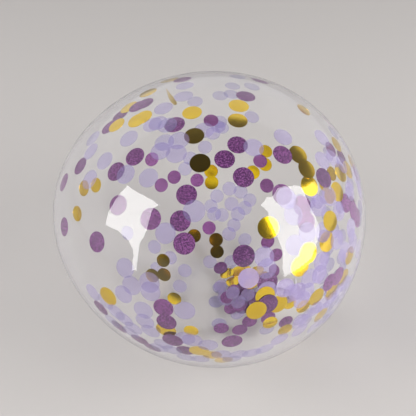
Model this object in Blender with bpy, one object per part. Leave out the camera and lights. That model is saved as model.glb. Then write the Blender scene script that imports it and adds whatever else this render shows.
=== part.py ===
"""Clear latex party balloon, blown up, knotted and set down on its belly.

Metres, +Z up. The origin is on the table under the middle of the body, in the
small spot that the skin presses flat. The neck leans to the right under the
body, its knot touches the table and the tail lies out along it.
The skin is a film of about a tenth of a millimetre that nothing can enter, so
the balloon is one closed solid with the outline of its outer surface.
"""

import math

import bmesh
import bpy
from mathutils import Vector

# Body
BODY_WIDTH = 0.270
CROWN_HEIGHT = 0.1145
BELLY_DEPTH = 0.1365
PRESS_DEPTH = 0.0010
BOW = 0.0074
BOW_LEVEL = 0.027

# Neck, measured from the middle of the body
NECK_LEAN = math.radians(29.0)
NECK_HEADING = math.radians(18.0)
SHOULDER_ANGLE = math.radians(25.0)
SHOULDER_EASE = 0.35
NECK_EASE = 0.94
NECK_LENGTH = 0.006
NECK_WIDTH = 0.0096
PLEAT_DEPTH = 0.0007
PLEATS = 10

# Knot: a lump wrapped by two rolled bands of latex
KNOT_WIDTH = 0.0135
KNOT_LENGTH = 0.0125
KNOT_PRESS = 0.0004
BAND_PROUD = 0.0008
BAND_THICKNESS = 0.0052
OVER_TILT = math.radians(34.0)
OVER_TURN = math.radians(8.0)
UNDER_TILT = math.radians(41.0)
UNDER_TURN = math.radians(205.0)

# Tail, a flattened tube that flares to its rolled lip
TAIL_HEADING = math.radians(-4.0)
TAIL_LENGTH = 0.025
TAIL_ROOT_WIDTH = 0.0085
TAIL_WAIST_WIDTH = 0.0092
TAIL_WAIST_THICKNESS = 0.0062
MOUTH_WIDTH = 0.0200
MOUTH_THICKNESS = 0.0066
MOUTH_DEPTH = 0.0075
MOUTH_WALL = 0.0010
LIP_THICKNESS = 0.0026
LIP_WAVE = 0.0008
TAIL_PRESS = 0.0006

# Fineness of the facets
BODY_SIDES = 60
BODY_RINGS = 30
SHOULDER_RINGS = 9
BAND_SIDES = 20
BAND_TUBE_SIDES = 10
KNOT_RINGS = 8
TAIL_SIDES = 24
TAIL_RINGS = 9
LIP_RINGS = 7

DOWN = Vector((0.0, 0.0, -1.0))
BODY_CENTRE = Vector((0.0, 0.0, BELLY_DEPTH - PRESS_DEPTH))


def heading(angle):
    """A level direction at an angle round from +X."""
    return Vector((math.cos(angle), math.sin(angle), 0.0))


def neck_line():
    """The direction in which the neck leaves the middle of the body."""
    return (math.cos(NECK_LEAN) * DOWN + math.sin(NECK_LEAN) * heading(NECK_HEADING)).normalized()


def across(direction):
    """Two directions square to the given one and to each other."""
    first = direction.cross(Vector((0.0, 1.0, 0.0))).normalized()
    return first, direction.cross(first).normalized()


def knot_centre():
    """The knot's middle: on the neck's line, where its underside meets the table."""
    height = KNOT_WIDTH / 2 - KNOT_PRESS
    distance = (BODY_CENTRE.z - height) / math.cos(NECK_LEAN)
    return BODY_CENTRE + distance * neck_line()


def body_radius(direction):
    """From the middle of the body to its skin: low above the widest level, deep below it."""
    half = BODY_WIDTH / 2
    height = CROWN_HEIGHT if direction.z > 0.0 else BELLY_DEPTH
    level = math.hypot(direction.x, direction.y) / half
    return 1.0 / math.hypot(level, direction.z / height)


def bow(height):
    """How far the skin leans to the right, at a height above the widest level."""
    span = CROWN_HEIGHT + BELLY_DEPTH
    return BOW * math.sin(math.pi * (height - BOW_LEVEL) / span) ** 2


def body_point(from_neck, turn):
    """A point of the round body, at an angle from the neck's line and a turn round it."""
    line = neck_line()
    first, second = across(line)
    out = math.cos(turn) * first + math.sin(turn) * second
    direction = math.cos(from_neck) * line + math.sin(from_neck) * out
    reach = body_radius(direction) * direction
    return BODY_CENTRE + reach + Vector((bow(reach.z), 0.0, 0.0))


def neck_point(past, turn):
    """A point of the gathered neck, this far past its upper end."""
    line = neck_line()
    first, second = across(line)
    out = math.cos(turn) * first + math.sin(turn) * second
    radius = NECK_WIDTH / 2 + PLEAT_DEPTH / 2 * math.cos(PLEATS * turn)
    top = knot_centre() - (KNOT_LENGTH / 2 + NECK_LENGTH / 2) * line
    return top + past * line + radius * out


def shoulder_point(share, turn):
    """A point of the shoulder, which draws the round body in to the neck in one curve."""
    step = 0.001
    line = neck_line()
    start = body_point(SHOULDER_ANGLE, turn)
    slope = (body_point(SHOULDER_ANGLE - step, turn) - start).normalized()
    end = neck_point(0.0, turn)
    way = end - start
    near_start = start + SHOULDER_EASE * way.length * slope
    near_end = end - NECK_EASE * way.dot(line) * line
    left = 1.0 - share
    return (
        left**3 * start
        + 3 * left**2 * share * near_start
        + 3 * left * share**2 * near_end
        + share**3 * end
    )


def turns(sides):
    """Equal turns round a full circle."""
    return [2 * math.pi * i / sides for i in range(sides)]


def skin_rings():
    """The rings of the body, shoulder and neck, from the crown down into the knot."""
    rings = []
    for i in range(1, BODY_RINGS + 1):
        angle = math.pi - (math.pi - SHOULDER_ANGLE) * i / BODY_RINGS
        rings.append([body_point(angle, turn) for turn in turns(BODY_SIDES)])
    for i in range(1, SHOULDER_RINGS + 1):
        share = i / SHOULDER_RINGS
        rings.append([shoulder_point(share, turn) for turn in turns(BODY_SIDES)])
    into_knot = NECK_LENGTH / 2 + KNOT_LENGTH / 4
    rings.append([neck_point(into_knot, turn) for turn in turns(BODY_SIDES)])
    return rings


def closed_mesh(name, rings, first_pole=None, last_pole=None, looped=False):
    """An object skinned over rings of points, closed by poles, by flat caps or as a loop."""
    shape = bmesh.new()
    loops = [[shape.verts.new(point) for point in ring] for ring in rings]
    pairs = list(zip(loops, loops[1:]))
    if looped:
        pairs.append((loops[-1], loops[0]))
    for low, high in pairs:
        for i in range(len(low)):
            j = (i + 1) % len(low)
            shape.faces.new((low[i], low[j], high[j], high[i]))
    if not looped:
        close_end(shape, loops[0], first_pole)
        close_end(shape, loops[-1], last_pole)
    bmesh.ops.recalc_face_normals(shape, faces=shape.faces)
    bmesh.ops.triangulate(shape, faces=shape.faces)
    mesh = bpy.data.meshes.new(name)
    shape.to_mesh(mesh)
    shape.free()
    thing = bpy.data.objects.new(name, mesh)
    bpy.context.scene.collection.objects.link(thing)
    return thing


def close_end(shape, loop, pole):
    """Close one end of a skinned shape, with a fan to its pole or with one flat face."""
    if pole is None:
        shape.faces.new(loop)
        return
    tip = shape.verts.new(pole)
    for i in range(len(loop)):
        shape.faces.new((loop[i], loop[(i + 1) % len(loop)], tip))


def make_skin():
    """The inflated body with its shoulder and neck."""
    return closed_mesh("latex_balloon", skin_rings(), first_pole=body_point(math.pi, 0.0))


def make_knot_core():
    """The lump in the middle of the knot."""
    line = neck_line()
    first, second = across(line)
    middle = knot_centre()
    rings = []
    for i in range(1, KNOT_RINGS):
        angle = math.pi * i / KNOT_RINGS
        along = -KNOT_LENGTH / 2 * math.cos(angle)
        radius = KNOT_WIDTH / 2 * math.sin(angle)
        ring = []
        for turn in turns(BAND_SIDES):
            out = math.cos(turn) * first + math.sin(turn) * second
            ring.append(middle + along * line + radius * out)
        rings.append(ring)
    half = KNOT_LENGTH / 2 * line
    return closed_mesh("knot_core", rings, first_pole=middle - half, last_pole=middle + half)


def make_band(name, tilt, turn_round):
    """A rolled band of latex round the knot: a ring square to the neck, tilted to one side."""
    line = neck_line()
    first, second = across(line)
    low_side = math.cos(turn_round) * first + math.sin(turn_round) * second
    second = line.cross(low_side)
    side = math.cos(tilt) * low_side + math.sin(tilt) * line
    axis = side.cross(second)
    ring_radius = KNOT_WIDTH / 2 + BAND_PROUD - BAND_THICKNESS / 2
    rings = []
    for turn in turns(BAND_SIDES):
        out = math.cos(turn) * side + math.sin(turn) * second
        tube = []
        for angle in turns(BAND_TUBE_SIDES):
            reach = ring_radius + BAND_THICKNESS / 2 * math.cos(angle)
            tube.append(knot_centre() + reach * out + BAND_THICKNESS / 2 * math.sin(angle) * axis)
        rings.append(tube)
    return closed_mesh(name, rings, looped=True)


def smooth(share):
    """An S-shaped ease from 0 to 1."""
    return share * share * (3.0 - 2.0 * share)


def tail_section(share):
    """Half width and half thickness of the tail, from its root in the knot to its mouth."""
    waist = 0.3
    root = TAIL_ROOT_WIDTH / 2
    slim, flat = TAIL_WAIST_WIDTH / 2, TAIL_WAIST_THICKNESS / 2
    if share < waist:
        part = smooth(share / waist)
        return root + (slim - root) * part, root + (flat - root) * part
    part = smooth((share - waist) / (1.0 - waist))
    wide = MOUTH_WIDTH / 2 - LIP_THICKNESS / 2
    thick = MOUTH_THICKNESS / 2 - LIP_THICKNESS / 2
    return slim + (wide - slim) * part, flat + (thick - flat) * part


def tail_ring(along, half_width, half_thickness):
    """One ring of the tail, the distance along it from the knot's middle."""
    out = heading(TAIL_HEADING)
    side = DOWN.cross(out)
    share = min(along / TAIL_LENGTH, 1.0)
    start = knot_centre()
    rest_height = MOUTH_THICKNESS / 2 - TAIL_PRESS
    height = start.z + (rest_height - start.z) * smooth(share)
    middle = Vector((start.x, start.y, height)) + along * out
    ring = []
    for turn in turns(TAIL_SIDES):
        wave = LIP_WAVE * share**2 * (1.0 + math.sin(2.0 * turn + 0.6))
        lift = half_thickness * math.sin(turn) + wave
        ring.append(middle + half_width * math.cos(turn) * side - lift * DOWN)
    return ring


def make_tail():
    """The flattened tail with its rolled lip and the pocket of its mouth."""
    rings = []
    for i in range(TAIL_RINGS + 1):
        share = i / TAIL_RINGS
        rings.append(tail_ring(share * (TAIL_LENGTH - LIP_THICKNESS), *tail_section(share)))
    wide, thick = tail_section(1.0)
    for i in range(1, LIP_RINGS):
        angle = -math.pi / 2 + 1.5 * math.pi * i / LIP_RINGS
        grow = LIP_THICKNESS / 2 * math.cos(angle)
        along = TAIL_LENGTH - LIP_THICKNESS / 2 + LIP_THICKNESS / 2 * math.sin(angle)
        rings.append(tail_ring(along, wide + grow, thick + grow))
    for depth in (LIP_THICKNESS, MOUTH_DEPTH):
        share = 1.0 - depth / TAIL_LENGTH
        wall_wide, wall_thick = tail_section(share)
        rings.append(
            tail_ring(TAIL_LENGTH - depth, wall_wide - MOUTH_WALL, wall_thick - MOUTH_WALL)
        )
    return closed_mesh("tail", rings)


def make_table():
    """The block of table that presses the skin, knot and tail flat."""
    size = 2 * (BODY_WIDTH + TAIL_LENGTH)
    shape = bmesh.new()
    bmesh.ops.create_cube(shape, size=size)
    bmesh.ops.translate(shape, verts=shape.verts, vec=DOWN * size / 2)
    mesh = bpy.data.meshes.new("table")
    shape.to_mesh(mesh)
    shape.free()
    block = bpy.data.objects.new("table", mesh)
    bpy.context.scene.collection.objects.link(block)
    return block


def hide_as_guide(thing):
    """Keep a shape that only joins or cuts another out of the finished model."""
    thing.hide_render = True
    thing.display_type = "WIRE"


def join(body, shapes):
    """Fuse overlapping shapes with the body in one union."""
    group = bpy.data.collections.new("fused")
    bpy.context.scene.collection.children.link(group)
    for shape in shapes:
        bpy.context.scene.collection.objects.unlink(shape)
        group.objects.link(shape)
        hide_as_guide(shape)
    step = body.modifiers.new("fuse", "BOOLEAN")
    step.operation = "UNION"
    step.solver = "EXACT"
    step.operand_type = "COLLECTION"
    step.collection = group


def cut(body, cutter):
    """Cut a shape away from the body."""
    hide_as_guide(cutter)
    step = body.modifiers.new("cut", "BOOLEAN")
    step.operation = "DIFFERENCE"
    step.solver = "EXACT"
    step.object = cutter


def clear_latex():
    """Clear, faintly milky, glossy latex."""
    material = bpy.data.materials.new("clear_latex")
    material.use_nodes = True
    shader = material.node_tree.nodes["Principled BSDF"]
    shader.inputs["Base Color"].default_value = (0.90, 0.89, 0.94, 1.0)
    shader.inputs["Roughness"].default_value = 0.08
    shader.inputs["Metallic"].default_value = 0.0
    shader.inputs["Alpha"].default_value = 0.3
    return material


def build():
    for thing in list(bpy.data.objects):
        bpy.data.objects.remove(thing)
    balloon = make_skin()
    balloon.data.materials.append(clear_latex())
    band_over = make_band("band_over", OVER_TILT, OVER_TURN)
    band_under = make_band("band_under", UNDER_TILT, UNDER_TURN)
    join(balloon, [make_knot_core(), band_over, band_under, make_tail()])
    cut(balloon, make_table())
    balloon.data.shade_smooth()
    balloon.data.set_sharp_from_angle(angle=math.radians(40.0))


build()
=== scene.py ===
"""Looks of the clear confetti balloon: its film, knot, tail, confetti, light and camera."""

import math
import random

import bmesh
import bpy
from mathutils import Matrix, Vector
from mathutils.bvhtree import BVHTree


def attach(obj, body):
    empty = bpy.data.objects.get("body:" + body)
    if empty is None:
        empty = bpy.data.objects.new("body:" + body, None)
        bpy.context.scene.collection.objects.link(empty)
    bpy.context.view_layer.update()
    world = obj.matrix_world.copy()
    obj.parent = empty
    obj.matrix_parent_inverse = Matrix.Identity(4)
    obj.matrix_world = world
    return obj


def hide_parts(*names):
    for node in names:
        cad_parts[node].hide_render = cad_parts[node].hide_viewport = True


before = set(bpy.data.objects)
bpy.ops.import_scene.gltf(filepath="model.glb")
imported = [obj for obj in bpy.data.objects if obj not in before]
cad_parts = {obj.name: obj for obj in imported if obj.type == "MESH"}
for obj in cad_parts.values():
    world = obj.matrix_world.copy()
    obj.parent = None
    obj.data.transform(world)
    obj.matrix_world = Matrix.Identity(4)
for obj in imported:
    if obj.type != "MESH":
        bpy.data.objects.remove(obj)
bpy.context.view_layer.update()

NODE = "latex_balloon"
BODY = "root"
UP = Vector((0.0, 0.0, 1.0))
RIGHT = Vector((1.0, 0.0, 0.0))

# Skin, in metres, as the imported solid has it
BODY_WIDTH = 0.270
CROWN_HEIGHT = 0.1145
BELLY_DEPTH = 0.1365
PRESS_DEPTH = 0.0010
BOW = 0.0074
BOW_LEVEL = 0.027
BODY_CENTRE = Vector((0.0, 0.0, BELLY_DEPTH - PRESS_DEPTH))
NECK_LEAN = math.radians(29.0)
NECK_HEADING = math.radians(18.0)
SHOULDER_ANGLE = math.radians(25.0)
SHOULDER_EASE = 0.35
NECK_EASE = 0.94
NECK_LENGTH = 0.006
NECK_WIDTH = 0.0096
PLEAT_DEPTH = 0.0007
PLEATS = 10
SKIN_SIDES = 180
SKIN_RINGS = 96
SHOULDER_RINGS = 26
SLOPE_STEP = 0.001
NECK_RING_SHARES = (0.35, 0.7, 1.0)

# Knot and tail
KNOT_WIDTH = 0.0135
KNOT_LENGTH = 0.0125
KNOT_PRESS = 0.0004
KNOT_STRAND = 0.0029
KNOT_LOOP = 0.001302
KNOT_REACH = 0.0024
KNOT_STEPS = 96
KNOT_SIDES = 16
KNOT_PLEATS = 6
KNOT_PLEAT_SHARE = 0.05
TAIL_HEADING = math.radians(-4.0)
TAIL_LENGTH = 0.025
TAIL_ROOT_WIDTH = 0.0085
TAIL_WAIST_WIDTH = 0.0092
TAIL_WAIST_THICKNESS = 0.0062
TAIL_WAIST_SHARE = 0.3
TAIL_STEPS = 26
TAIL_SIDES = 72
TAIL_PLEATS = 9
TAIL_PLEAT_SHARE = 0.07
LIP_STEPS = 14
LIP_TURN = 1.5 * math.pi
LIP_WAVE_TURN = 0.6
MOUTH_WIDTH = 0.0200
MOUTH_THICKNESS = 0.0066
MOUTH_DEPTH = 0.0075
MOUTH_WALL = 0.0010
MOUTH_MIDDLE = 0.005
LIP_THICKNESS = 0.0026
LIP_WAVE = 0.0008
TAIL_PRESS = 0.0006

# Camera, fitted to the balloon's outline in the photograph's 416 pixel frame
FRAME_SIDE = 416
FOCAL_PIXELS = 613.0
SENSOR_WIDTH = 36.0
CAMERA_DISTANCE = 0.5433
CAMERA_PITCH = math.radians(44.0)
CAMERA_SLIDE = 0.0010
CAMERA_LIFT = -0.0019
NEAREST_SEEN = 0.01
HIT_STEP = 0.001

# Confetti: discs in metres, with sizes as shares of the radius; a layer is counted inwards
# from the skin, and a tone is how dense and dark a disc looks; it also holds painted shade,
# darker on the heap, and painted light, paler on the far wall
DISC_RADIUS = 0.0075
DISC_THICKNESS = 0.00012
DISC_SIDES = 28
DISC_RINGS = 3
DISC_SIZES = (0.99, 1.06)
WALL_GAP = 0.0004
LAYER_STEP = 0.00028
LAYER_SPREAD = 0.8
NEAR_TONE = 0.7
# Far discs are made thinner and paler than near ones: painted light, for the light that shines
# through them from behind
FAR_PAINTED_LIGHT_TONE = 0.2
STREWN_TONE = 0.5
TONE_SPREAD = 0.25
# Loose discs of the heap get denser, darker tones: painted shade where they pile up
HEAP_PAINTED_SHADE_TONES = (0.7, 1.5)

# Discs strewn at random, and the seeds of each colour's own small differences
SCATTER_SPACING = 0.0085
SCATTER_TRIES = 400
SCATTER_SEED = 7
PURPLE_SEED = 11
LAVENDER_SEED = 12
GOLD_SEED = 13

# The heap of loose discs by the neck, from the pixel of its middle
HEAP_PIXEL = (242, 298)
HEAP_SPREAD = 0.017
HEAP_STEP = 0.0004
HEAP_LEAN = 0.03
HEAP_RISE = 0.004
HEAP_COUNT = 26
HEAP_UPRIGHT = 0.3
HEAP_PROBE = 0.05
HEAP_PROBE_SIDES = 8
HEAP_OVERLAP = 1.9

# How loose discs lean and curl
FOIL_LEAN = Vector((0.0, 0.2, 0.0))
TISSUE_CURL = 0.0003
FOIL_CURL = 0.0014

# The one disc that is seen on its edge
EDGE_ON_PIXEL = (167.5, 88)
EDGE_ON_LEAN = Vector((0.45, 0.1, -1.0))
EDGE_ON_TURN = 0.22
EDGE_ON_DEPTH = 1.1

# Tissue, foil and slack latex: how fine their pattern is, where it turns from dark to pale
# and its two colours
PURPLE_SCALE = 1000.0
PURPLE_SPAN = (0.35, 0.52)
PURPLE_DARK = (0.055, 0.004, 0.068)
PURPLE_PALE = (0.265, 0.075, 0.27)
PURPLE_TONE_SHARE = -0.10
PURPLE_ROUGHNESS = 0.55
EVEN_SPAN = (0.3, 0.7)
LAVENDER_SCALE = 300.0
LAVENDER_DARK = (0.43, 0.325, 0.56)
LAVENDER_PALE = (0.49, 0.375, 0.63)
LAVENDER_TINT = (0.92, 0.925, 1.0)
LAVENDER_COVER = 0.14
LAVENDER_TONE_COVER = 0.11
LAVENDER_ROUGHNESS = 0.7
GOLD_SCALE = 90.0
GOLD_DARK = (0.80, 0.53, 0.008)
GOLD_PALE = (0.90, 0.63, 0.015)
GOLD_ROUGHNESS = 0.12
CREASE_STRENGTH = 0.2
CREASE_DEPTH = 0.0004
LATEX_SCALE = 220.0
LATEX_DARK = (0.70, 0.67, 0.68)
LATEX_PALE = (0.80, 0.78, 0.80)
LATEX_ROUGHNESS = 0.28
LATEX_ALPHA = 0.8

# Film: the share that is milky or mirrors, face on, how much more at the rim and how
# steeply it grows, and the light let through face on and at the rim
FILM_HAZE = 0.006
FILM_HAZE_RIM = 0.45
FILM_HAZE_POWER = 2.6
FILM_GLOSS = 0.06
FILM_GLOSS_RIM = 0.55
FILM_GLOSS_POWER = 5.0
FILM_CLEAR = (1.0, 1.0, 1.0)
FILM_CLEAR_RIM = (0.70, 0.68, 0.68)
FILM_RIM_FROM = 0.80
FILM_RIM_TO = 0.98
FILM_GLOSS_ROUGHNESS = 0.03
MILK_COLOUR = (0.68, 0.665, 0.69)
MILK_ROUGHNESS = 0.5

# Places of the discs that show clearly, in pixels of the photograph, on the near wall;
# a third number is the disc's layer in a stack, counted inwards from the skin, and a
# fourth is its tone, or how dense it is
PURPLE_NEAR = (
    (134, 156), (115, 171), (117, 205), (150, 219), (186.3, 194.5), (180, 221), (184, 244),
    (224.9, 158.5, 2, 1.0), (238, 144, 2, 1.1), (244.1, 176.7, 2, 1.1), (283.7, 154),
    (324.5, 177.5, 0, 1.6), (244.3, 256.6, 2, 1.3), (95.6, 242.3), (162.8, 309), (166, 323.3),
    (172.4, 341, 0), (185.2, 352), (174.2, 123.5, 2), (246.2, 94.8), (144, 102), (137, 105),
    (108, 126), (119, 113.5, 4), (79, 165.5), (62.3, 182), (62.5, 227), (182, 78), (260.6, 79.4),
    (329.5, 121), (347.3, 203), (355, 211), (330.7, 283.3), (339.5, 277), (232.3, 342.8),
    (268.8, 284, 5, 1.4), (268.2, 305.2, 1, 1.4), (99.5, 309), (118, 328), (139, 341), (152, 349),
    (284, 194, 5), (304, 206, 4), (308, 222, 4),
)
LAVENDER_NEAR = (
    (125, 174), (148, 177.6), (160, 150.5), (176, 153.3), (164, 142, 0, 0.1), (194, 211),
    (165.2, 233.4), (254, 147.2), (283.6, 136.5), (264.7, 257.2), (267.2, 269),
    (248.9, 278.7, 0, 4.0), (184.4, 311.2), (149, 283), (150, 292), (323.4, 160), (322.9, 137.6),
    (333.6, 158), (339.7, 211), (308, 233), (157.5, 122.5), (167, 124.5), (163.2, 107.7),
    (183.3, 95.4), (184.6, 85), (128.3, 138), (104, 160.5), (88.7, 179.4), (90, 151),
    (92, 138, 0, 0.1), (124.4, 268.4), (131, 286), (122.8, 295), (115.6, 313), (144.4, 322),
    (142.8, 311), (185, 339), (192, 341), (92, 293), (287, 198, 0, 1.6), (268, 292.5, 3.9, 3.0),
    (285.5, 288.5, 0, 1.8), (298, 292.5, 1, 1.8), (320.3, 274.6, 0, 1.5), (310, 279),
    (330, 195.7), (322, 262), (338, 240), (345, 252), (352, 228), (318.8, 206), (331, 301),
    (315.2, 310.4), (322, 306), (158.8, 348.8), (186, 358.4), (221.2, 355.2), (238.8, 355.2),
    (252, 354), (130, 333), (112, 322), (152, 124), (178.5, 140), (204, 128.5, 5), (300, 331),
    (104, 303, 3), (124, 320), (133, 329), (150, 332), (163, 345), (172, 351), (200, 360),
    (208, 346), (232, 360), (265, 350), (280, 340), (303, 301, 2, 1.5), (308, 293, 3, 0.9),
    (293, 295, 4, 0.9),
)
GOLD_NEAR = (
    (191.8, 111.3), (239.2, 104.4), (238.2, 119.2), (194, 134.9), (200, 162.3), (299.6, 153.8, 3),
    (308.1, 168.7, 2), (311.2, 185.5, 3), (269, 228), (309, 253.5, 0), (301, 267, 1),
    (331, 221, 0), (328, 242, 1), (256.8, 311.3, 0), (266, 297, 2.9), (279, 305.2, 2),
    (317.8, 298), (333, 292.5), (351, 256), (345, 278.4), (107.4, 297, 0), (165.2, 332, 5),
    (199, 352, 1), (212.4, 356.8, 2), (136.3, 119.2), (142, 116), (115.5, 124), (128, 106),
    (342.2, 172.2), (338.7, 191.6), (349.4, 169.2), (322, 316), (147.5, 91.5),
    (169, 78.7), (224, 361.5),
)

# The same on the far wall, seen through the balloon
PURPLE_FAR = (
    (161, 185), (174, 177), (197, 180), (209, 228), (260.6, 160.5, 4), (267.2, 185.5), (268, 242),
    (276.4, 255.2), (211, 120), (268.5, 318.4), (286.2, 322.4), (221.2, 329), (239.8, 330.6),
    (249.8, 322), (331.5, 148.8), (274, 272, 1), (151.5, 159),
)
LAVENDER_FAR = (
    (184.7, 270.8), (127, 233), (154.2, 247), (219.5, 288), (216, 302), (229.5, 188.6),
    (240.7, 191.6), (231.5, 203.9), (244.8, 208), (211, 206), (214, 214), (234, 225),
    (185, 168.6), (205, 147), (218.3, 126.3), (190, 158), (245, 240), (231, 262), (170, 258),
    (252, 116.6), (231.5, 93.7), (220.3, 95.2, 0, 0.0), (232.6, 85.5), (237.7, 76.3), (267, 330),
    (300, 320), (156.4, 268.8), (179.6, 286.4), (219, 324), (210, 262), (195, 101, 0, 0.0),
    (252, 86, 0, 0.0), (219.7, 121.4), (222, 127.5), (213, 133), (222, 215), (238, 214),
    (229, 234), (217, 196), (250, 200),
)
GOLD_FAR = (
    (76.1, 213.6), (95, 185), (83, 188), (211.6, 182.4), (211, 171), (266.2, 150.8), (265.5, 164),
    (253.2, 172), (194, 236), (162.8, 260.8), (163.6, 275.2), (216, 240), (217, 252),
    (174, 299.2), (190.8, 331.5), (270.6, 323.6), (285.6, 330.5), (289.7, 303), (304, 307.2),
    (332.6, 173.3), (152, 276), (325, 184), (304.5, 109),
)

# Each colour's marks on the near and far wall, each with its usual layer
MARKS = (
    ("purple", PURPLE_NEAR, 2, PURPLE_FAR, 1),
    ("lavender", LAVENDER_NEAR, 0, LAVENDER_FAR, 0),
    ("gold", GOLD_NEAR, 2, GOLD_FAR, 2),
)

# The heap by the neck: its uppermost discs, by colour and pixel, from the lowest up
HEAP_TOPS = (
    ("lavender", (238.7, 315)), ("purple", (232.5, 310)), ("purple", (243, 290)),
    ("lavender", (225, 296)), ("lavender", (220.5, 285)), ("gold", (257, 271)),
    ("gold", (262, 277)), ("gold", (245, 271)), ("gold", (252, 286)), ("gold", (238, 272.5)),
    ("gold", (234.6, 284)), ("gold", (228, 275.6)), ("purple", (222, 270.5)),
    ("lavender", (228.5, 302)), ("purple", (229, 300)), ("purple", (235, 294)),
    ("purple", (241, 308)), ("lavender", (249, 297)), ("lavender", (240, 305)),
    ("lavender", (234.5, 296)),
)

# Zones of the picture, by two corners, with the purple, lavender and gold discs strewn there
ZONES = (
    (((322, 130), (362, 320)), (4, 46, 3)),
    (((290, 200), (345, 330)), (0, 24, 0)),
)

# Outlines of the windows' reflections, in pixels of the photograph
LEFT_WINDOW = (
    (127.8, 185.6), (132, 187.2), (143.3, 195), (156.7, 202.5), (161, 206), (155, 209.4),
    (146.7, 228.3), (143.3, 235), (138.9, 246), (137.2, 255), (135.6, 269.4), (132.8, 272.8),
    (131.7, 255), (131, 248.3), (126.7, 238), (117.8, 230), (104.4, 225.5), (107.8, 216),
    (115.6, 200.6), (122.2, 190.6),
)
RIGHT_WINDOW = (
    (263, 206), (267, 199), (272, 194), (279, 188), (284, 185), (297, 184.5), (302, 190),
    (310, 204), (317, 219), (321, 231), (318, 243), (308, 262), (300, 273), (286, 279),
    (284.2, 268), (281.5, 250), (276, 234), (270, 217), (265, 212),
)
HIGH_WINDOW = (
    (304, 189), (307, 183.5), (315, 183), (320, 189), (316, 196), (307, 196),
)

# Windows, lights, floor and surroundings
WINDOW_DISTANCE = 2.4
LEFT_RADIANCE = 8.2
RIGHT_RADIANCE = 7.4
HIGH_RADIANCE = 2.0
OVERHEAD_POWER = 3.0
OVERHEAD_SIZE = 3.0
OVERHEAD_PLACE = (0.0, 0.3, 2.2)
FLOOR_SIZE = 6.0
FLOOR_DROP = 0.0003
FLOOR_COLOUR = (0.57, 0.545, 0.525)
FLOOR_ROUGHNESS = 0.8
WALL_TOP = 0.36
WALL_BLEND = 0.04
BACK_WALL_RISE = 0.88
CEILING_LEVEL = 0.92
WALL_COLOUR = (0.80, 0.79, 0.82)
UPPER_COLOUR = (0.13, 0.125, 0.13)
CEILING_COLOUR = (0.04, 0.038, 0.04)
SEE_THROUGH_LAYERS = 48


def heading(angle):
    """A level direction at an angle round from +X."""
    return Vector((math.cos(angle), math.sin(angle), 0.0))


NECK_LINE = (math.sin(NECK_LEAN) * heading(NECK_HEADING) - math.cos(NECK_LEAN) * UP).normalized()
KNOT_HEIGHT = KNOT_WIDTH / 2 - KNOT_PRESS
KNOT_CENTRE = BODY_CENTRE + (BODY_CENTRE.z - KNOT_HEIGHT) / math.cos(NECK_LEAN) * NECK_LINE


def across(direction):
    """Two directions square to the given one and to each other."""
    first = direction.cross(Vector((0.0, 1.0, 0.0))).normalized()
    return first, direction.cross(first).normalized()


def turns(sides):
    """Equal turns round a full circle."""
    return [2 * math.pi * i / sides for i in range(sides)]


def smooth(share):
    """An S-shaped ease from 0 to 1."""
    share = min(max(share, 0.0), 1.0)
    return share * share * (3.0 - 2.0 * share)


# Skin


def body_radius(direction):
    """From the middle of the body to its skin."""
    height = CROWN_HEIGHT if direction.z > 0.0 else BELLY_DEPTH
    level = math.hypot(direction.x, direction.y) / (BODY_WIDTH / 2)
    return 1.0 / math.hypot(level, direction.z / height)


def bow(height):
    """How far the skin leans to the right, at a height above the widest level."""
    return BOW * math.sin(math.pi * (height - BOW_LEVEL) / (CROWN_HEIGHT + BELLY_DEPTH)) ** 2


def skin_point(direction, inset=0.0):
    """The point of the skin in a direction from the body's middle, or that far inside it."""
    reach = (body_radius(direction) - inset) * direction
    return BODY_CENTRE + reach + bow(reach.z) * RIGHT


def skin_direction(point):
    """The direction that skin_point takes to the skin nearest a point."""
    reach = point - BODY_CENTRE
    reach.x -= bow(reach.z)
    return reach.normalized()


def round_neck(from_neck, turn):
    """A direction at an angle from the neck's line and a turn round it."""
    first, second = across(NECK_LINE)
    out = math.cos(turn) * first + math.sin(turn) * second
    return math.cos(from_neck) * NECK_LINE + math.sin(from_neck) * out


def neck_point(past, turn):
    """A point of the gathered neck, this far past its upper end."""
    first, second = across(NECK_LINE)
    out = math.cos(turn) * first + math.sin(turn) * second
    radius = NECK_WIDTH / 2 + PLEAT_DEPTH / 2 * math.cos(PLEATS * turn)
    top = KNOT_CENTRE - (KNOT_LENGTH / 2 + NECK_LENGTH / 2) * NECK_LINE
    return top + past * NECK_LINE + radius * out


def shoulder_point(share, turn):
    """A point of the shoulder, which draws the body in to the neck in one curve."""
    start = skin_point(round_neck(SHOULDER_ANGLE, turn))
    slope = (skin_point(round_neck(SHOULDER_ANGLE - SLOPE_STEP, turn)) - start).normalized()
    end = neck_point(0.0, turn)
    way = end - start
    near_start = start + SHOULDER_EASE * way.length * slope
    near_end = end - NECK_EASE * way.dot(NECK_LINE) * NECK_LINE
    left = 1.0 - share
    return (
        left**3 * start
        + 3 * left**2 * share * near_start
        + 3 * left * share**2 * near_end
        + share**3 * end
    )


def skin_rings():
    """The rings of the body, shoulder and neck, from the crown down into the knot."""
    rings = []
    for i in range(1, SKIN_RINGS + 1):
        angle = math.pi - (math.pi - SHOULDER_ANGLE) * i / SKIN_RINGS
        rings.append([skin_point(round_neck(angle, turn)) for turn in turns(SKIN_SIDES)])
    for i in range(1, SHOULDER_RINGS + 1):
        share = i / SHOULDER_RINGS
        rings.append([shoulder_point(share, turn) for turn in turns(SKIN_SIDES)])
    for share in NECK_RING_SHARES:
        into_knot = share * (NECK_LENGTH / 2 + KNOT_LENGTH / 4)
        rings.append([neck_point(into_knot, turn) for turn in turns(SKIN_SIDES)])
    return rings


def pressed(point):
    """A point held above the table, where the skin lies pressed flat on it."""
    return Vector((point.x, point.y, max(point.z, 0.0)))


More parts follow.
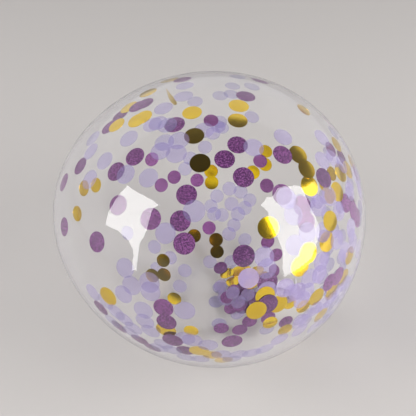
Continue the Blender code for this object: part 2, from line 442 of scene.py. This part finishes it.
def link(name, shape, material):
    """A smooth object from a bmesh, riding on the balloon with its material and slot."""
    bmesh.ops.recalc_face_normals(shape, faces=shape.faces)
    mesh = bpy.data.meshes.new(name)
    shape.to_mesh(mesh)
    shape.free()
    mesh.shade_smooth()
    mesh.materials.append(material)
    thing = bpy.data.objects.new(name, mesh)
    bpy.context.scene.collection.objects.link(thing)
    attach(thing, BODY)
    return thing


def skin_over(shape, rings, first_pole=None, looped=False):
    """Faces over rings of points, closed by a pole, by flat caps or as a loop."""
    loops = [[shape.verts.new(point) for point in ring] for ring in rings]
    pairs = list(zip(loops, loops[1:]))
    if looped:
        pairs.append((loops[-1], loops[0]))
    for low, high in pairs:
        for i in range(len(low)):
            j = (i + 1) % len(low)
            shape.faces.new((low[i], low[j], high[j], high[i]))
    if looped:
        return
    shape.faces.new(loops[-1])
    if first_pole is None:
        shape.faces.new(loops[0])
        return
    tip = shape.verts.new(first_pole)
    for i in range(len(loops[0])):
        shape.faces.new((loops[0][i], loops[0][(i + 1) % len(loops[0])], tip))


def make_skin(material):
    """The clear inflated skin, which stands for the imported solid."""
    shape = bmesh.new()
    rings = [[pressed(point) for point in ring] for ring in skin_rings()]
    skin_over(shape, rings, first_pole=skin_point(round_neck(math.pi, 0.0)))
    skin = link("clear_skin", shape, material)
    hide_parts(NODE)
    return skin


# Knot and tail


def make_knot(material):
    """The overhand knot: one strand of gathered latex that loops round and through itself."""
    first, second = across(NECK_LINE)
    path = []
    for turn in turns(KNOT_STEPS):
        side = math.sin(turn) + 2 * math.sin(2 * turn)
        front = math.cos(turn) - 2 * math.cos(2 * turn)
        depth = -KNOT_REACH * math.sin(3 * turn)
        loop = KNOT_LOOP * (side * first + front * second)
        path.append(KNOT_CENTRE + loop + depth * NECK_LINE)
    rings = []
    for i, middle in enumerate(path):
        ahead = (path[(i + 1) % KNOT_STEPS] - path[i - 1]).normalized()
        side = ahead.cross(NECK_LINE).normalized()
        top = side.cross(ahead)
        ring = []
        for turn in turns(KNOT_SIDES):
            pleat = 1.0 + KNOT_PLEAT_SHARE * math.cos(KNOT_PLEATS * turn)
            out = math.cos(turn) * side + math.sin(turn) * top
            ring.append(middle + KNOT_STRAND * pleat * out)
        rings.append([pressed(point) for point in ring])
    shape = bmesh.new()
    skin_over(shape, rings, looped=True)
    return link("knot", shape, material)


def tail_section(share):
    """Half width and half thickness of the tail, from its root in the knot to its mouth."""
    root = TAIL_ROOT_WIDTH / 2
    slim, flat = TAIL_WAIST_WIDTH / 2, TAIL_WAIST_THICKNESS / 2
    if share < TAIL_WAIST_SHARE:
        part = smooth(share / TAIL_WAIST_SHARE)
        return root + (slim - root) * part, root + (flat - root) * part
    part = smooth((share - TAIL_WAIST_SHARE) / (1.0 - TAIL_WAIST_SHARE))
    wide = MOUTH_WIDTH / 2 - LIP_THICKNESS / 2
    thick = MOUTH_THICKNESS / 2 - LIP_THICKNESS / 2
    return slim + (wide - slim) * part, flat + (thick - flat) * part


def tail_ring(along, half_width, half_thickness):
    """One ring of the tail, the distance along it from the knot's middle."""
    out = heading(TAIL_HEADING)
    side = out.cross(UP)
    share = min(along / TAIL_LENGTH, 1.0)
    rest_height = MOUTH_THICKNESS / 2 - TAIL_PRESS
    height = KNOT_CENTRE.z + (rest_height - KNOT_CENTRE.z) * smooth(share)
    middle = Vector((KNOT_CENTRE.x, KNOT_CENTRE.y, height)) + along * out
    fold = TAIL_PLEAT_SHARE * (1.0 - share)
    ring = []
    for turn in turns(TAIL_SIDES):
        pleat = 1.0 + fold * math.cos(TAIL_PLEATS * turn)
        wave = LIP_WAVE * share**2 * (1.0 + math.sin(2.0 * turn + LIP_WAVE_TURN))
        lift = half_thickness * pleat * math.sin(turn) + wave
        ring.append(middle + half_width * pleat * math.cos(turn) * side + lift * UP)
    return [pressed(point) for point in ring]


def make_tail(material):
    """The flattened tail with its rolled lip and the pocket of its mouth."""
    rings = []
    for i in range(TAIL_STEPS + 1):
        share = i / TAIL_STEPS
        rings.append(tail_ring(share * (TAIL_LENGTH - LIP_THICKNESS), *tail_section(share)))
    wide, thick = tail_section(1.0)
    for i in range(1, LIP_STEPS):
        angle = -math.pi / 2 + LIP_TURN * i / LIP_STEPS
        grow = LIP_THICKNESS / 2 * math.cos(angle)
        along = TAIL_LENGTH - LIP_THICKNESS / 2 + LIP_THICKNESS / 2 * math.sin(angle)
        rings.append(tail_ring(along, wide + grow, thick + grow))
    for depth in (LIP_THICKNESS, MOUTH_MIDDLE, MOUTH_DEPTH):
        wall_wide, wall_thick = tail_section(1.0 - depth / TAIL_LENGTH)
        along = TAIL_LENGTH - depth
        rings.append(tail_ring(along, wall_wide - MOUTH_WALL, wall_thick - MOUTH_WALL))
    shape = bmesh.new()
    skin_over(shape, rings)
    return link("tail", shape, material)


# Camera and what its pixels see

VIEW_AHEAD = Vector((0.0, math.cos(CAMERA_PITCH), -math.sin(CAMERA_PITCH)))
VIEW_UP = Vector((0.0, math.sin(CAMERA_PITCH), math.cos(CAMERA_PITCH)))
CAMERA_PLACE = (
    BODY_CENTRE
    - CAMERA_DISTANCE * VIEW_AHEAD
    - CAMERA_SLIDE * RIGHT
    - CAMERA_LIFT * VIEW_UP
)


def make_camera():
    """The camera at the photograph's height, pitch and distance."""
    data = bpy.data.cameras.new("camera")
    data.sensor_width = SENSOR_WIDTH
    data.lens = FOCAL_PIXELS / FRAME_SIDE * SENSOR_WIDTH
    data.clip_start = NEAREST_SEEN
    camera = bpy.data.objects.new("camera", data)
    camera.location = CAMERA_PLACE
    camera.rotation_euler = (math.pi / 2 - CAMERA_PITCH, 0.0, 0.0)
    bpy.context.scene.collection.objects.link(camera)
    bpy.context.scene.camera = camera


def pixel_ray(pixel):
    """The direction from the camera through a pixel of the photograph."""
    half = FRAME_SIDE / 2
    side, down = pixel[0] - half, pixel[1] - half
    return (FOCAL_PIXELS * VIEW_AHEAD + side * RIGHT - down * VIEW_UP).normalized()


def wall_hits(tree, pixel):
    """The near and far points of the skin behind a pixel, with their outward normals."""
    ray = pixel_ray(pixel)
    near, near_normal, _, _ = tree.ray_cast(CAMERA_PLACE, ray)
    far, far_normal, _, _ = tree.ray_cast(near + HIT_STEP * ray, ray)
    return (near, near_normal), (far, far_normal)


# Confetti


def on_body(direction):
    """Whether a direction meets the round body, clear of the shoulder."""
    return direction.angle(NECK_LINE) > SHOULDER_ANGLE


def on_wall(tree, point, inset):
    """The spot of the inner wall nearest a point, that far inside the skin."""
    direction = skin_direction(point)
    if on_body(direction):
        place = skin_point(direction, inset)
        return Vector((place.x, place.y, max(place.z, inset)))
    place, normal, _, _ = tree.find_nearest(point)
    return place - inset * normal


def add_disc(shape, tone_layer, top_rings, low_rings, tone):
    """A thin closed disc between two stacks of rings, every corner with the disc's tone."""
    stacks = []
    for rings in (top_rings, low_rings):
        stacks.append([[shape.verts.new(point) for point in ring] for ring in rings])
    for stack in stacks:
        for inner, outer in zip(stack, stack[1:]):
            for i in range(DISC_SIDES):
                j = (i + 1) % DISC_SIDES
                shape.faces.new((inner[i], inner[j], outer[j], outer[i]))
        shape.faces.new(stack[0])
        for ring in stack:
            for vertex in ring:
                vertex[tone_layer] = tone
    top, low = stacks[0][-1], stacks[1][-1]
    for i in range(DISC_SIDES):
        j = (i + 1) % DISC_SIDES
        rim = shape.faces.new((top[i], top[j], low[j], low[i]))
        for edge in rim.edges:
            edge.smooth = False


def disc_rings(centre, first, second, size=1.0):
    """The flat rings of a disc, from its middle out."""
    rings = []
    for i in range(1, DISC_RINGS + 1):
        radius = size * DISC_RADIUS * i / DISC_RINGS
        outs = [math.cos(turn) * first + math.sin(turn) * second for turn in turns(DISC_SIDES)]
        rings.append([centre + radius * out for out in outs])
    return rings


def wall_disc(shape, tone_layer, tree, place, layer, tone, size):
    """A disc that clings to the inner wall at a point of the skin, in a layer of its stack."""
    _, normal, _, _ = tree.find_nearest(place)
    inset = WALL_GAP + LAYER_STEP * layer
    rings = disc_rings(place, *across(normal), size)
    stacks = []
    for depth in (inset, inset + DISC_THICKNESS):
        stacks.append([[on_wall(tree, point, depth) for point in ring] for ring in rings])
    add_disc(shape, tone_layer, stacks[0], stacks[1], tone)


def loose_disc(shape, tone_layer, centre, normal, most_curl, rng):
    """A curled disc of the heap."""
    first, second = across(normal)
    curl = rng.uniform(-most_curl, most_curl)
    rings = disc_rings(centre, first, second)
    stacks = []
    for depth in (0.0, -DISC_THICKNESS):
        stack = []
        for ring in rings:
            bends = [curl * ((point - centre).dot(first) / DISC_RADIUS) ** 2 for point in ring]
            stack.append([point + (bend + depth) * normal for point, bend in zip(ring, bends)])
        stacks.append(stack)
    # The heap disc's tone is drawn dense and dark, as painted shade
    add_disc(shape, tone_layer, stacks[0], stacks[1], rng.uniform(*HEAP_PAINTED_SHADE_TONES))


def make_confetti(name, material, tree, places, loose, most_curl, seed):
    """One colour of confetti: discs on the wall and loose discs of the heap."""
    rng = random.Random(seed)
    shape = bmesh.new()
    tone_layer = shape.verts.layers.float.new("tone")
    for place, layer, tone in places:
        size = rng.uniform(*DISC_SIZES)
        tone = max(tone + rng.uniform(-TONE_SPREAD, TONE_SPREAD), 0.0)
        layer += rng.uniform(0.0, LAYER_SPREAD)
        wall_disc(shape, tone_layer, tree, place, layer, tone, size)
    for centre, normal in loose:
        loose_disc(shape, tone_layer, centre, normal, most_curl, rng)
    return link(name + "_confetti", shape, material)


def seen(tree, marks, far, layer):
    """The wall's points behind some pixels, with each disc's layer and its tone."""
    # Far-wall discs take the paler tone as painted light from behind; near discs take the denser
    # one
    tone = FAR_PAINTED_LIGHT_TONE if far else NEAR_TONE
    places = []
    for mark in marks:
        near_hit, far_hit = wall_hits(tree, mark)
        place = far_hit[0] if far else near_hit[0]
        own_layer = mark[2] if len(mark) > 2 else layer
        own_tone = mark[3] if len(mark) > 3 else tone
        places.append((place, own_layer, own_tone))
    return places


def pixel_of(point):
    """Where a point shows, in pixels of the photograph."""
    from_camera = point - CAMERA_PLACE
    depth = from_camera.dot(VIEW_AHEAD)
    half = FRAME_SIDE / 2
    side = half + FOCAL_PIXELS * from_camera.dot(RIGHT) / depth
    return side, half - FOCAL_PIXELS * from_camera.dot(VIEW_UP) / depth


def scatter(rng, zone, count, taken, spacing, layer):
    """Points strewn over the wall where it shows in a zone, not too near each other."""
    (left, top), (right, bottom) = zone
    places = []
    for _ in range(count * SCATTER_TRIES):
        if len(places) == count:
            break
        direction = Vector((rng.gauss(0, 1), rng.gauss(0, 1), rng.gauss(0, 1))).normalized()
        if not on_body(direction):
            continue
        place = skin_point(direction)
        x, y = pixel_of(place)
        if not (left < x < right and top < y < bottom):
            continue
        if all((place - other).length > spacing for other in taken):
            places.append((place, layer, STREWN_TONE))
            taken.append(place)
    return places


def heap_discs(rng, tree, count):
    """Loose discs piled on the belly, each laid on the wall and on those already under it."""
    middle, normal = wall_hits(tree, HEAP_PIXEL)[1]
    inward = (HEAP_UPRIGHT * UP - normal).normalized()
    side, ahead = across(inward)
    laid = []

    def lay(colour, spot):
        level = 0.0
        for edge in turns(HEAP_PROBE_SIDES):
            out = spot + DISC_RADIUS * Vector((math.cos(edge), math.sin(edge)))
            start = middle + out.x * side + out.y * ahead + HEAP_PROBE * inward
            _, _, _, drop = tree.ray_cast(start, -inward)
            level = max(level, HEAP_PROBE - drop + HEAP_STEP)
        for _, other, height in laid:
            if (other - spot).length < HEAP_OVERLAP * DISC_RADIUS:
                level = max(level, height + HEAP_STEP)
        laid.append((colour, spot, level))

    for _ in range(count):
        far = math.sqrt(rng.random()) * HEAP_SPREAD
        turn = rng.uniform(0.0, 2 * math.pi)
        colour = rng.choice(("purple", "lavender"))
        lay(colour, Vector((far * math.cos(turn), far * math.sin(turn))))
    for colour, pixel in HEAP_TOPS:
        ray = pixel_ray(pixel)
        above = middle + HEAP_RISE * inward - CAMERA_PLACE
        point = CAMERA_PLACE + above.dot(inward) / ray.dot(inward) * ray - middle
        lay(colour, Vector((point.dot(side), point.dot(ahead))))
    discs = {"purple": [], "lavender": [], "gold": []}
    for colour, spot, level in laid:
        lean = Vector((rng.gauss(0, HEAP_LEAN), rng.gauss(0, HEAP_LEAN), 0.0))
        if colour == "gold":
            lean += FOIL_LEAN
        centre = middle + spot.x * side + spot.y * ahead + level * inward
        discs[colour].append((centre, (inward + lean).normalized()))
    return discs


def edge_on_disc(tree):
    """The one disc that stands away from the wall, seen on its edge."""
    (place, normal), _ = wall_hits(tree, EDGE_ON_PIXEL)
    ray = pixel_ray(EDGE_ON_PIXEL)
    face = ray.cross(EDGE_ON_LEAN).normalized() + EDGE_ON_TURN * ray
    return place - EDGE_ON_DEPTH * DISC_RADIUS * normal, face.normalized()


def make_all_confetti(tree):
    """Every disc, in its three colours."""
    on_walls = {}
    for colour, near_marks, near_layer, far_marks, far_layer in MARKS:
        near = seen(tree, near_marks, False, near_layer)
        on_walls[colour] = near + seen(tree, far_marks, True, far_layer)
    taken = [place for places in on_walls.values() for place, _, _ in places]
    rng = random.Random(SCATTER_SEED)
    for zone, counts in ZONES:
        for (colour, _, layer, _, _), count in zip(MARKS, counts):
            on_walls[colour] += scatter(rng, zone, count, taken, SCATTER_SPACING, layer)
    heap = heap_discs(rng, tree, HEAP_COUNT)
    heap["gold"].append(edge_on_disc(tree))
    pieces = (
        ("purple", purple_tissue(), TISSUE_CURL, PURPLE_SEED),
        ("lavender", lavender_tissue(), TISSUE_CURL, LAVENDER_SEED),
        ("gold", gold_foil(), FOIL_CURL, GOLD_SEED),
    )
    for colour, material, curl, seed in pieces:
        make_confetti(colour, material, tree, on_walls[colour], heap[colour], curl, seed)


# Materials


def new_material(name):
    """A material with its node tree and its Principled shader."""
    material = bpy.data.materials.new(name)
    material.use_nodes = True
    nodes = material.node_tree.nodes
    return material, nodes, material.node_tree.links, nodes["Principled BSDF"]


def noise_node(nodes, links, scale, detail):
    """Noise over the object's own space."""
    place = nodes.new("ShaderNodeTexCoord")
    noise = nodes.new("ShaderNodeTexNoise")
    noise.inputs["Scale"].default_value = scale
    noise.inputs["Detail"].default_value = detail
    links.new(place.outputs["Object"], noise.inputs["Vector"])
    return noise


def ramp_node(nodes, links, source, low, high, dark, light):
    """Two colours blended by a value between low and high."""
    ramp = nodes.new("ShaderNodeValToRGB")
    ramp.color_ramp.elements[0].position = low
    ramp.color_ramp.elements[1].position = high
    ramp.color_ramp.elements[0].color = (*dark, 1.0)
    ramp.color_ramp.elements[1].color = (*light, 1.0)
    links.new(source, ramp.inputs["Fac"])
    return ramp


def tone_node(nodes, links, amount, base):
    """A value that differs from disc to disc."""
    tone = nodes.new("ShaderNodeAttribute")
    tone.attribute_name = "tone"
    value = math_node(nodes, links, "MULTIPLY_ADD", tone.outputs["Fac"], amount)
    if isinstance(base, float):
        value.node.inputs[2].default_value = base
    else:
        links.new(base, value.node.inputs[2])
    return value


def purple_tissue():
    """Purple tissue with a fine pale mottle."""
    material, nodes, links, shader = new_material("purple_tissue")
    mottle = noise_node(nodes, links, PURPLE_SCALE, 4.0)
    # The tone darkens the purple disc by disc; on the heap it is painted shade, on the far wall a
    # paler painted light
    shade = tone_node(nodes, links, PURPLE_TONE_SHARE, mottle.outputs["Fac"])
    colour = ramp_node(nodes, links, shade, *PURPLE_SPAN, PURPLE_DARK, PURPLE_PALE)
    links.new(colour.outputs["Color"], shader.inputs["Base Color"])
    shader.inputs["Roughness"].default_value = PURPLE_ROUGHNESS
    return material


def lavender_tissue():
    """Thin lavender tissue: it tints the light that it lets through, and scatters the rest."""
    material, nodes, links, shader = new_material("lavender_tissue")
    fibre = noise_node(nodes, links, LAVENDER_SCALE, 5.0)
    pattern = fibre.outputs["Fac"]
    colour = ramp_node(nodes, links, pattern, *EVEN_SPAN, LAVENDER_DARK, LAVENDER_PALE)
    links.new(colour.outputs["Color"], shader.inputs["Base Color"])
    shader.inputs["Roughness"].default_value = LAVENDER_ROUGHNESS
    clear = nodes.new("ShaderNodeBsdfTransparent")
    clear.inputs["Color"].default_value = (*LAVENDER_TINT, 1.0)
    sheet = nodes.new("ShaderNodeMixShader")
    # The tone sets how much tissue covers: denser and darker on the heap as painted shade,
    # thinner and paler on the far wall as painted light
    cover = tone_node(nodes, links, LAVENDER_TONE_COVER, LAVENDER_COVER)
    links.new(cover, sheet.inputs[0])
    links.new(clear.outputs[0], sheet.inputs[1])
    links.new(shader.outputs[0], sheet.inputs[2])
    links.new(sheet.outputs[0], nodes["Material Output"].inputs["Surface"])
    return material


def gold_foil():
    """Bright gold foil with faint creases."""
    material, nodes, links, shader = new_material("gold_foil")
    crease = noise_node(nodes, links, GOLD_SCALE, 2.0)
    pattern = crease.outputs["Fac"]
    bump = nodes.new("ShaderNodeBump")
    bump.inputs["Strength"].default_value = CREASE_STRENGTH
    bump.inputs["Distance"].default_value = CREASE_DEPTH
    links.new(pattern, bump.inputs["Height"])
    links.new(bump.outputs["Normal"], shader.inputs["Normal"])
    colour = ramp_node(nodes, links, pattern, *EVEN_SPAN, GOLD_DARK, GOLD_PALE)
    links.new(colour.outputs["Color"], shader.inputs["Base Color"])
    shader.inputs["Metallic"].default_value = 1.0
    shader.inputs["Roughness"].default_value = GOLD_ROUGHNESS
    return material


def math_node(nodes, links, operation, first, second):
    """A sum on two inputs, each a plain value or another node's output."""
    node = nodes.new("ShaderNodeMath")
    node.operation = operation
    for socket, value in zip(node.inputs, (first, second)):
        if isinstance(value, float):
            socket.default_value = value
        else:
            links.new(value, socket)
    return node.outputs[0]


def clear_film():
    """Clear latex film: open at its middle, milkier, deeper and glossier towards its rim."""
    material, nodes, links, milk = new_material("clear_film")
    clear = nodes.new("ShaderNodeBsdfTransparent")
    gloss = nodes.new("ShaderNodeBsdfGlossy")
    gloss.inputs["Roughness"].default_value = FILM_GLOSS_ROUGHNESS
    milk.inputs["Roughness"].default_value = MILK_ROUGHNESS
    weight = nodes.new("ShaderNodeLayerWeight")
    weight.inputs["Blend"].default_value = 0.5
    slope = weight.outputs["Facing"]
    milk.inputs["Base Color"].default_value = (*MILK_COLOUR, 1.0)
    depth = ramp_node(
        nodes, links, slope, FILM_RIM_FROM, FILM_RIM_TO, FILM_CLEAR, FILM_CLEAR_RIM
    )
    links.new(depth.outputs["Color"], clear.inputs["Color"])
    limb = math_node(nodes, links, "POWER", slope, FILM_HAZE_POWER)
    haze = math_node(nodes, links, "MULTIPLY_ADD", limb, FILM_HAZE_RIM)
    haze.node.inputs[2].default_value = FILM_HAZE
    veil = nodes.new("ShaderNodeMixShader")
    links.new(haze, veil.inputs[0])
    links.new(clear.outputs[0], veil.inputs[1])
    links.new(milk.outputs[0], veil.inputs[2])
    graze = math_node(nodes, links, "POWER", slope, FILM_GLOSS_POWER)
    mirror = math_node(nodes, links, "MULTIPLY_ADD", graze, FILM_GLOSS_RIM)
    mirror.node.inputs[2].default_value = FILM_GLOSS
    facing = nodes.new("ShaderNodeNewGeometry")
    outside = math_node(nodes, links, "SUBTRACT", 1.0, facing.outputs["Backfacing"])
    mirror = math_node(nodes, links, "MULTIPLY", mirror, outside)
    surface = nodes.new("ShaderNodeMixShader")
    links.new(mirror, surface.inputs[0])
    links.new(veil.outputs[0], surface.inputs[1])
    links.new(gloss.outputs[0], surface.inputs[2])
    links.new(surface.outputs[0], nodes["Material Output"].inputs["Surface"])
    return material


def thick_latex():
    """Slack latex of the knot and tail, milky because it isn't stretched."""
    material, nodes, links, shader = new_material("thick_latex")
    cloud = noise_node(nodes, links, LATEX_SCALE, 3.0)
    pattern = cloud.outputs["Fac"]
    colour = ramp_node(nodes, links, pattern, *EVEN_SPAN, LATEX_DARK, LATEX_PALE)
    links.new(colour.outputs["Color"], shader.inputs["Base Color"])
    shader.inputs["Roughness"].default_value = LATEX_ROUGHNESS
    shader.inputs["Alpha"].default_value = LATEX_ALPHA
    return material


# Floor and light


def make_floor():
    """A plain pale floor, a hair under the balloon."""
    shape = bmesh.new()
    bmesh.ops.create_grid(shape, x_segments=1, y_segments=1, size=FLOOR_SIZE)
    mesh = bpy.data.meshes.new("floor")
    shape.to_mesh(mesh)
    shape.free()
    floor = bpy.data.objects.new("floor", mesh)
    floor.location.z = -FLOOR_DROP
    bpy.context.scene.collection.objects.link(floor)
    material, _, _, shader = new_material("floor")
    shader.inputs["Base Color"].default_value = (*FLOOR_COLOUR, 1.0)
    shader.inputs["Roughness"].default_value = FLOOR_ROUGHNESS
    shader.inputs["Specular IOR Level"].default_value = 0.0
    mesh.materials.append(material)


def make_window(name, tree, outline, radiance):
    """A soft bright window, out where the skin mirrors it to the pixels of its outline."""
    shape = bmesh.new()
    corners = []
    for pixel in outline:
        (place, normal), _ = wall_hits(tree, pixel)
        ray = pixel_ray(pixel)
        mirrored = ray - 2 * ray.dot(normal) * normal
        corners.append(shape.verts.new(place + WINDOW_DISTANCE * mirrored))
    shape.faces.new(corners)
    mesh = bpy.data.meshes.new(name)
    shape.to_mesh(mesh)
    shape.free()
    window = bpy.data.objects.new(name, mesh)
    bpy.context.scene.collection.objects.link(window)
    material, nodes, links, shader = new_material(name)
    nodes.remove(shader)
    glow = nodes.new("ShaderNodeEmission")
    glow.inputs["Strength"].default_value = radiance
    links.new(glow.outputs[0], nodes["Material Output"].inputs["Surface"])
    mesh.materials.append(material)
    window.visible_camera = False


def make_overhead():
    """A broad soft light overhead that adds no reflection of its own."""
    data = bpy.data.lights.new("overhead", "AREA")
    data.shape = "DISK"
    data.size = OVERHEAD_SIZE
    data.energy = OVERHEAD_POWER
    light = bpy.data.objects.new("overhead", data)
    light.location = OVERHEAD_PLACE
    light.visible_glossy = False
    light.visible_camera = False
    bpy.context.scene.collection.objects.link(light)


def make_world():
    """Soft studio surroundings: bright walls low down, higher at the back, and a dim ceiling."""
    world = bpy.data.worlds.new("studio")
    bpy.context.scene.world = world
    world.use_nodes = True
    nodes, links = world.node_tree.nodes, world.node_tree.links
    place = nodes.new("ShaderNodeTexCoord")
    split = nodes.new("ShaderNodeSeparateXYZ")
    links.new(place.outputs["Generated"], split.inputs[0])
    back = math_node(nodes, links, "MAXIMUM", split.outputs["Y"], 0.0)
    square = math_node(nodes, links, "POWER", back, 2.0)
    height = math_node(nodes, links, "MULTIPLY_ADD", square, -BACK_WALL_RISE)
    links.new(split.outputs["Z"], height.node.inputs[2])
    low, high = WALL_TOP - WALL_BLEND, WALL_TOP + WALL_BLEND
    ramp = ramp_node(nodes, links, height, low, high, WALL_COLOUR, UPPER_COLOUR)
    zenith = ramp.color_ramp.elements.new(CEILING_LEVEL)
    zenith.color = (*CEILING_COLOUR, 1.0)
    links.new(ramp.outputs["Color"], nodes["Background"].inputs["Color"])


def set_look():
    """Plain colour handling and enough see-through layers for the confetti."""
    scene = bpy.context.scene
    scene.view_settings.view_transform = "Standard"
    scene.cycles.transparent_max_bounces = SEE_THROUGH_LAYERS
    scene.cycles.use_denoising = True


def build():
    """The whole picture: the balloon, its confetti, the floor, the windows and the light."""
    make_camera()
    skin = make_skin(clear_film())
    latex = thick_latex()
    make_knot(latex)
    make_tail(latex)
    depsgraph = bpy.context.evaluated_depsgraph_get()
    tree = BVHTree.FromObject(skin, depsgraph)
    make_all_confetti(tree)
    make_floor()
    make_window("left_window", tree, LEFT_WINDOW, LEFT_RADIANCE)
    make_window("right_window", tree, RIGHT_WINDOW, RIGHT_RADIANCE)
    make_window("high_window", tree, HIGH_WINDOW, HIGH_RADIANCE)
    make_overhead()
    make_world()
    set_look()


build()
